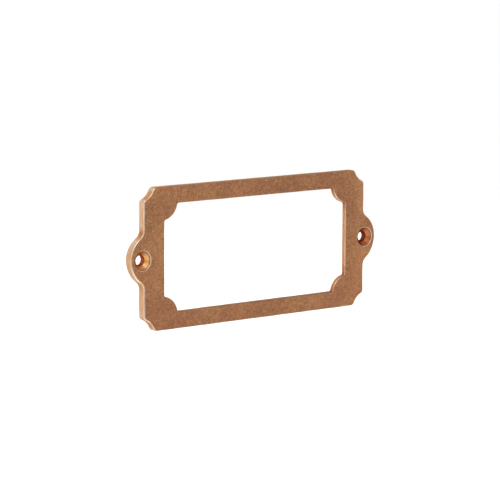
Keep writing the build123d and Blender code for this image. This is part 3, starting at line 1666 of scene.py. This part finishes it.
        kept = w.spread(fine, 0.0, 1.0, 0.75, 1.0), w.faded(thumbed, 0.6), w.faded(reddened, 0.65)
        crest = w.times(w.attribute("crest"), *kept, w.faded(soil, 0.6))
        colour = w.blend(crest, colour, w.blend(w.spread(crest, 1.0, 1.4), self.worn, self.bare))
        w.feed(shader.inputs["Base Color"], colour)
        rough = w.spread(fine, 0.0, 1.0, *self.rough)
        w.feed(shader.inputs["Roughness"], w.spread(crest, 0.0, 1.0, rough, self.worn_rough))
        shader.inputs["Metallic"].default_value = 1.0
        shader.inputs["Specular Tint"].default_value = self.edge_tint
        grain = w.effect(effects.grain, Place=place, Grain_Size=self.grain)["Height"]
        brushing = w.effect(effects.brushing, Place=place, Width=self.brushing)["Height"]
        bumped(w, shader, w.maths("ADD", grain, w.times(brushing, 0.4)), *self.relief)
        return made


@dataclass(frozen=True)
class CutSeat:
    """The countersink, cut after casting and brighter than the face, and its bore, darkened with
    painted shade.

    Args:
        axis_x: Distance of the hole's axis from the middle of the part in millimetres.
        bore_radius: Radius of the bore in millimetres.
        head_radius: Radius of the cone's mouth in millimetres.
        bright: Colour of the fresh cut.
        deep: Colour of its darkened grooves.
        right_cut_shade: Painted shade that darkens the whole cut in the right-hand hole, which lies
            in shade.
        painted_cone_shade: Colour of the painted shade that darkens the cone away from its
            right-hand side.
        bore: Colour of the bore, darkened with painted shade in the deep hole.
        right_bore_shade: More painted shade, which the right-hand bore is darkened with.
        lip: Colour of the painted shadow under the lip, a dark line between the cone and the rubbed
            break.
        edge_tint: How much light the metal gives back at a grazing angle.
        mottle: Sizes of the blotches and flecks in millimetres.
        pitch: Distance between the tool's rings in millimetres.
        rough: Lowest and highest roughness.
        dull: Roughness of the bore.
        relief: Depth of the tool's marks in millimetres, and how strongly they show.
    """

    axis_x: float
    bore_radius: float
    head_radius: float
    bright: Colour = (0.82, 0.45, 0.175, 1.0)
    deep: Colour = (0.64, 0.27, 0.085, 1.0)
    right_cut_shade: Colour = (0.44, 0.127, 0.043, 1.0)
    painted_cone_shade: Colour = (0.17, 0.048, 0.02, 1.0)
    bore: Colour = (0.3, 0.085, 0.045, 1.0)
    right_bore_shade: Colour = (0.06, 0.012, 0.006, 1.0)
    lip: Colour = (0.28, 0.1, 0.05, 1.0)
    edge_tint: Colour = (0.5, 0.22, 0.12, 1.0)
    mottle: tuple[float, float] = (0.9, 0.3)
    pitch: float = 0.16
    rough: tuple[float, float] = (0.32, 0.4)
    dull: float = 0.5
    relief: tuple[float, float] = (0.008, 0.5)

    def material(self, effects: Effects) -> bpy.types.Material:
        """Builds the material.

        Args:
            effects: The shared effects.

        Returns:
            The material.
        """
        made, w, shader, place = new_material("cut screw seat")
        mottle = mottled(w, effects, place, self.mottle)
        radius = w.attribute("axis")
        colour = w.blend(w.spread(mottle["Blotch"], 0.2, 1.0, 0.0, 0.7), self.bright, self.deep)
        parts = w.node("ShaderNodeSeparateXYZ")
        w.feed(parts.inputs[0], place)
        x, z = parts.outputs["X"], parts.outputs["Z"]
        right, sign = w.spread(x, -10.0, 10.0), w.maths("SIGN", x)
        # Painted shade: the right-hand hole's cut is darkened as a whole.
        colour = w.blend(w.times(right, 0.88), colour, self.right_cut_shade)

        # Painted shade: the cone darkens away from its right-hand side, which faces the lamps, and
        # over one half, the upper one on the left hole and the lower one on the right.
        turned = w.maths("DIVIDE", w.maths("SUBTRACT", x, w.times(sign, self.axis_x)), radius)
        away = w.times(w.spread(turned, 1.05, 0.1), w.spread(turned, -0.1, -0.9, 1.0, 0.4))
        away = w.times(away, w.spread(right, 0.0, 1.0, 0.62, 0.6))
        colour = w.blend(away, colour, self.painted_cone_shade)
        half = w.times(w.spread(w.times(z, sign), 0.2, -1.8), w.spread(turned, -0.6, 0.3))
        half = w.times(half, w.spread(right, 0.0, 1.0, 0.2, 0.25))
        colour = w.blend(half, colour, self.painted_cone_shade)

        # Painted shadow: a dark line under the lip, and a fainter shade over the top of the cone.
        head = self.head_radius
        colour = w.blend(w.spread(radius, head - 0.4, head - 0.1, 0.0, 0.3), colour, self.lip)
        colour = w.blend(w.spread(radius, head - 0.12, head - 0.02), colour, self.lip)
        # Painted shade: the bore is darkened, the right-hand one most.
        inner = w.spread(radius, self.bore_radius + 0.1, self.bore_radius + 0.01)
        colour = w.blend(inner, colour, self.bore)
        colour = w.blend(w.times(inner, right, 0.6), colour, self.right_bore_shade)
        w.feed(shader.inputs["Base Color"], colour)
        rough = w.spread(mottle["Fleck"], 0.0, 1.0, *self.rough)
        w.feed(shader.inputs["Roughness"], w.spread(inner, 0.0, 1.0, rough, self.dull))
        shader.inputs["Metallic"].default_value = 1.0
        shader.inputs["Specular Tint"].default_value = self.edge_tint
        groove = w.maths("SINE", w.times(radius, 2.0 * math.pi / self.pitch))
        height = w.maths("ADD", w.times(groove, 0.25), mottle["Fleck"])
        bumped(w, shader, height, *self.relief)
        return made


@dataclass(frozen=True)
class CastBack:
    """The back and the card pocket: the casting's own skin, coarser and duller than the front.

    Args:
        dark: Colour in the hollows.
        light: Colour on the high spots.
        soot: Colour of the darkest specks.
        worn: Colour along the edges and on the barest specks.
        rough: Lowest and highest roughness.
        broad: Sizes of the broad blotches and of the flecks in them, in millimetres.
        small: Sizes of the small ones.
        speck: Size of the dark and the bare specks.
        grain: Size of the grain.
        wear_reach: How far from the edges the wear fades, in millimetres.
        relief: Depth of the grain in millimetres, and how strongly it shows.
    """

    dark: Colour = (0.165, 0.078, 0.042, 1.0)
    light: Colour = (0.37, 0.178, 0.088, 1.0)
    soot: Colour = (0.09, 0.045, 0.027, 1.0)
    worn: Colour = (0.5, 0.3, 0.17, 1.0)
    rough: tuple[float, float] = (0.48, 0.66)
    broad: tuple[float, float] = (5.0, 1.4)
    small: tuple[float, float] = (1.1, 0.5)
    speck: float = 0.55
    grain: float = 0.42
    wear_reach: float = 0.35
    relief: tuple[float, float] = (0.09, 0.9)

    def material(self, effects: Effects) -> bpy.types.Material:
        """Builds the material.

        Args:
            effects: The shared effects.

        Returns:
            The material.
        """
        made, w, shader, place = new_material("cast back")
        broad = mottled(w, effects, place, self.broad)
        small = mottled(w, effects, place, self.small)
        grain = w.effect(effects.grain, Place=place, Grain_Size=self.grain)
        edge = w.attribute("edge")
        wear = w.effect(effects.wear, Place=place, Edge=edge, Reach=self.wear_reach)["Wear"]
        tone = w.total(
            (broad["Blotch"], 0.3), (broad["Fleck"], 0.2),
            (small["Blotch"], 0.2), (small["Fleck"], 0.3),
        )
        colour = w.blend(w.spread(tone, 0.15, 0.85), self.dark, self.light)
        speck = w.noise(place, self.speck)
        colour = w.blend(w.spread(speck, 0.46, 0.3, 0.0, 0.7), colour, self.soot)
        colour = w.blend(w.spread(speck, 0.58, 0.75, 0.0, 0.4), colour, self.worn)
        colour = w.blend(w.times(grain["Pit"], 0.7), colour, self.soot)
        colour = w.blend(w.times(wear, 0.6), colour, self.worn)
        w.feed(shader.inputs["Base Color"], colour)
        w.feed(shader.inputs["Roughness"], w.spread(broad["Fleck"], 0.0, 1.0, *self.rough))
        shader.inputs["Metallic"].default_value = 1.0
        bumped(w, shader, w.maths("ADD", grain["Height"], speck), *self.relief)
        return made


# ------------------------------------------------------------------------------- the object


@dataclass(frozen=True)
class LabelHolder:
    """The whole part: one casting in three finishes, in the place of the CAD node.

    Args:
        node: Name of the CAD node that it stands for.
        body: Name of the body that it rides on.
    """

    node: str = "frame"
    body: str = "root"

    def build(self, effects: Effects) -> bpy.types.Object:
        """Builds the piece and registers it.

        Args:
            effects: The shared effects.

        Returns:
            The finished object.
        """
        low, high = (np.array(corner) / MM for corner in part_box(self.node))
        span = high - low
        sizes = PlateSizes(length=float(span[0]), height=float(span[2]), thickness=float(span[1]))
        hole_x = sizes.hole_spacing / 2
        seat = CutSeat(hole_x, sizes.bore, sizes.head)
        finishes = [made.material(effects) for made in (AgedFace(), seat, CastBack())]
        piece = as_object("label_frame", Casting(sizes).skin(), hole_x, finishes)
        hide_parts(self.node)
        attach(piece, self.body)
        return piece


# -------------------------------------------------------------------------------- the studio


class StageTree:
    """The tree of a surround or floor that looks white to the camera and softer to the metal."""

    def __init__(self, tree: bpy.types.NodeTree, out: str) -> None:
        """Clears the tree and adds its output node.

        Args:
            tree: The tree.
            out: Kind of the output node.
        """
        tree.nodes.clear()
        self.wiring = Wiring(tree)
        self.out = tree.nodes.new(out)

    def shade(self, kind: str, colour: Colour) -> bpy.types.Node:
        """Adds a shader of one colour.

        Args:
            kind: Type of its node.
            colour: The colour.

        Returns:
            The node.
        """
        made = self.wiring.node(kind)
        made.inputs["Color"].default_value = colour
        return made

    def choose(self, for_metal: bpy.types.Node, for_camera: bpy.types.Node) -> None:
        """Shows the second shader to camera rays and the first to all others.

        Args:
            for_metal: The shader that the metal mirrors.
            for_camera: The shader that the camera sees.
        """
        mix = self.wiring.node("ShaderNodeMixShader")
        path = self.wiring.node("ShaderNodeLightPath")
        self.wiring.feed(mix.inputs[0], path.outputs["Is Camera Ray"])
        self.wiring.feed(mix.inputs[1], for_metal.outputs[0])
        self.wiring.feed(mix.inputs[2], for_camera.outputs[0])
        self.wiring.feed(self.out.inputs["Surface"], mix.outputs[0])


def grey(tone: float) -> Colour:
    """Makes a neutral colour."""
    return (tone, tone, tone, 1.0)


@dataclass(frozen=True)
class Floor:
    """A wide pale floor far below the part, which hangs free as in the photograph.

    Args:
        drop: How far below the origin it lies, in metres.
        half: Half its side, in metres.
        tone: How pale it is to the camera.
        mirrored: How pale it is in the metal.
    """

    drop: float = 0.35
    half: float = 30.0
    tone: float = 0.9
    mirrored: float = 0.8

    def build(self) -> bpy.types.Object:
        """Returns:
            The floor.
        """
        h, z = self.half, -self.drop
        mesh = bpy.data.meshes.new("floor")
        mesh.from_pydata([(-h, -h, z), (h, -h, z), (h, h, z), (-h, h, z)], [], [(0, 1, 2, 3)])
        material = bpy.data.materials.new("pale floor")
        material.use_nodes = True
        tree = StageTree(material.node_tree, "ShaderNodeOutputMaterial")
        tones = (self.mirrored, self.tone)
        tree.choose(*(tree.shade("ShaderNodeBsdfDiffuse", grey(tone)) for tone in tones))
        mesh.materials.append(material)
        made = bpy.data.objects.new("floor", mesh)
        bpy.context.scene.collection.objects.link(made)
        return made


@dataclass(frozen=True)
class Surround:
    """The even surround.

    Args:
        shown: Its radiance to the camera.
        mirrored: Its radiance in the metal and on the floor.
    """

    shown: float = 1.0
    mirrored: float = 0.6

    def build(self) -> None:
        """Makes the world."""
        world = bpy.data.worlds.new("white_surround")
        world.use_nodes = True
        tree = StageTree(world.node_tree, "ShaderNodeOutputWorld")
        backs = [tree.shade("ShaderNodeBackground", grey(1.0)) for _ in range(2)]
        backs[0].inputs["Strength"].default_value = self.mirrored
        backs[1].inputs["Strength"].default_value = self.shown
        tree.choose(*backs)
        bpy.context.scene.world = world


@dataclass(frozen=True)
class FloorLight:
    """A wide overhead light that only brightens the floor.

    Args:
        strength: Its irradiance in watts on a square metre.
        spread: How wide it looks from the floor, in degrees.
    """

    strength: float = 1.6
    spread: float = 70.0

    def build(self) -> bpy.types.Object:
        """Makes the light, which the metal doesn't mirror.

        Returns:
            The light.
        """
        lamp = bpy.data.lights.new("floor_light", "SUN")
        lamp.energy, lamp.angle = self.strength, math.radians(self.spread)
        made = bpy.data.objects.new("floor_light", lamp)
        made.visible_glossy = False
        bpy.context.scene.collection.objects.link(made)
        return made


@dataclass(frozen=True)
class Softbox:
    """A large soft lamp that looks at the part.

    Args:
        name: Name of the lamp.
        azimuth: Its bearing in degrees, from -Y towards +X.
        elevation: Its height above the horizon in degrees.
        distance: Distance from the part in metres.
        width: Its width in metres.
        height: Its height in metres.
        glow: Radiance of its face.
    """

    name: str
    azimuth: float
    elevation: float
    distance: float
    width: float
    height: float
    glow: float

    def build(self) -> bpy.types.Object:
        """Makes the lamp: an area lamp of radiance L and area A takes pi L A watts.

        Returns:
            The lamp.
        """
        a, e = math.radians(self.azimuth), math.radians(self.elevation)
        out = Vector((math.sin(a) * math.cos(e), -math.cos(a) * math.cos(e), math.sin(e)))
        lamp = bpy.data.lights.new(self.name, "AREA")
        lamp.shape = "RECTANGLE"
        lamp.size, lamp.size_y = self.width, self.height
        lamp.energy = math.pi * self.glow * self.width * self.height
        made = bpy.data.objects.new(self.name, lamp)
        made.location = out * self.distance
        made.rotation_euler = (-out).to_track_quat("-Z", "Y").to_euler()
        made.visible_camera = False
        bpy.context.scene.collection.objects.link(made)
        return made


@dataclass(frozen=True)
class PhotoCamera:
    """The photograph's camera.

    Args:
        place: Where it stands, in metres.
        turn: Its Euler angles in degrees.
        lens: Focal length in millimetres.
        sensor: Width of its square frame in millimetres.
        clip: Nearest and farthest distance that it shows, in metres.
    """

    place: tuple[float, float, float] = (-0.395945, -0.503536, 0.092880)
    turn: tuple[float, float, float] = (81.6841, -0.1908, -38.1319)
    lens: float = 171.956
    sensor: float = 36.0
    clip: tuple[float, float] = (0.01, 100.0)

    def build(self) -> bpy.types.Object:
        """Makes the camera and sets it as the scene's.

        Returns:
            The camera.
        """
        data = bpy.data.cameras.new("photo_camera")
        data.lens, data.sensor_width = self.lens, self.sensor
        data.clip_start, data.clip_end = self.clip
        made = bpy.data.objects.new("photo_camera", data)
        made.location = self.place
        made.rotation_euler = Euler([math.radians(value) for value in self.turn], "XYZ")
        bpy.context.scene.collection.objects.link(made)
        bpy.context.scene.camera = made
        return made


@dataclass(frozen=True)
class Studio:
    """The surround, the floor, the lamps and the camera.

    Args:
        lamps: The softboxes.
    """

    lamps: tuple[Softbox, ...] = (
        Softbox("left_softbox", -76.0, 20.0, 0.9, 0.8, 1.9, 0.9),
        Softbox("front_softbox", 40.0, -5.0, 1.0, 1.3, 1.2, 0.45),
        Softbox("upper_left_softbox", -35.0, 50.0, 0.9, 0.8, 0.7, 1.3),
        Softbox("top_softbox", 66.0, 50.0, 1.0, 0.8, 0.5, 0.8),
        Softbox("white_backdrop", -160.0, 12.0, 1.4, 4.2, 3.2, 0.7),
    )

    def build(self) -> None:
        """Makes them all, with colours shown as they are computed."""
        scene = bpy.context.scene
        scene.view_settings.view_transform = "Standard"
        scene.view_settings.look = "None"
        Surround().build()
        Floor().build()
        FloorLight().build()
        for lamp in self.lamps:
            lamp.build()
            LOG.info("%s: radiance %.2f", lamp.name, lamp.glow)
        PhotoCamera().build()


def main() -> None:
    """Builds the part and the studio."""
    logging.basicConfig(level=logging.INFO, format="%(name)s %(message)s")
    effects = Effects.build()
    piece = LabelHolder().build(effects)
    LOG.info("%s: %d materials", piece.name, len(piece.data.materials))
    Studio().build()
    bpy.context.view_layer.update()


if __name__ == "__main__":
    main()
